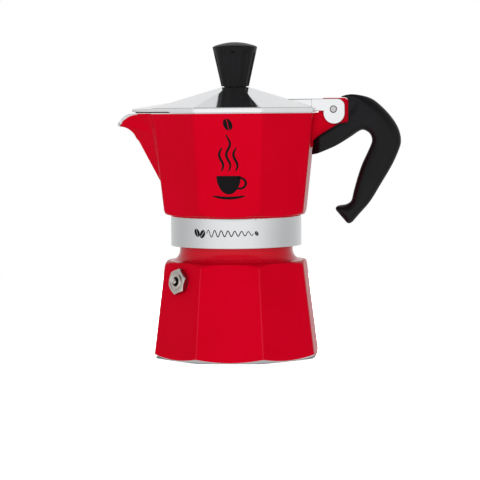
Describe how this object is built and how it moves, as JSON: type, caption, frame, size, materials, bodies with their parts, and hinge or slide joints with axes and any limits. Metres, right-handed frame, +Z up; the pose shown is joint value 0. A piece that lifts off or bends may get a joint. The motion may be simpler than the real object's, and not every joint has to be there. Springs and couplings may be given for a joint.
{
  "type": "moka pot",
  "caption": "Faceted stovetop coffee pot: lower boiler with a safety valve, coffee funnel, gasket and filter, screwed-on collector with a spout, hinged lid with a knob, and side handle.",
  "frame": {"origin": "centre of the flat round foot, on the pot's own axis, on the surface that the pot stands on", "axes": "+Z up along the pot's axis; +X towards the handle, so the spout points to -X; +Y away from a viewer who has the handle on the right"},
  "size_m": [0.1529, 0.086, 0.1685],
  "materials": {
    "red_paint": "gloss",
    "polished_aluminium": "polished",
    "aluminium": "satin",
    "nickel": "satin",
    "steel": "satin",
    "rubber": "matte",
    "black_plastic": "satin"
  },
  "bodies": {
    "boiler": {"boiler": "red_paint", "valve_body": "nickel", "valve_gasket": "rubber", "valve_cap": "nickel", "valve_spring": "steel"},
    "valve_pin": {"valve_piston": "steel", "valve_seal": "rubber"},
    "funnel": {"funnel": "aluminium", "funnel_screen": "aluminium"},
    "seal": {"gasket": "rubber", "filter_plate": "aluminium"},
    "collector": {"collector": "red_paint", "column": "aluminium", "handle": "black_plastic", "handle_screw": "steel", "hinge_pin": "steel"},
    "lid": {"lid": "polished_aluminium", "knob": "black_plastic", "knob_screw": "steel", "knob_washer": "steel"}
  },
  "joints": [
    {"name": "valve_slide", "type": "slide", "parent": "boiler", "child": "valve_pin", "axis": [-0.7021, -0.7021, 0.1185], "range_m": [0, 0.002], "stiffness_N_per_m": 1500, "springref_m": -0.003, "deforming": ["valve_spring"]},
    {"name": "funnel_lift", "type": "slide", "parent": "boiler", "child": "funnel", "axis": [0, 0, 1], "range_m": [0, 0.07]},
    {"name": "collector_rise", "type": "slide", "parent": "funnel", "child": "seal", "axis": [0, 0, 1], "range_m": [0, 0.0125]},
    {"name": "collector_turn", "type": "hinge", "parent": "seal", "child": "collector", "pos_m": [0, 0, 0.067], "axis": [0, 0, 1], "range_deg": [0, 1260]},
    {"name": "lid_hinge", "type": "hinge", "parent": "collector", "child": "lid", "pos_m": [0.0531, 0, 0.1322], "axis": [0, 1, 0], "range_deg": [0, 100]}
  ],
  "couplings": [
    {"joint": "collector_rise", "follows": "collector_turn", "m_per_rad": 0.00055704}
  ]
}
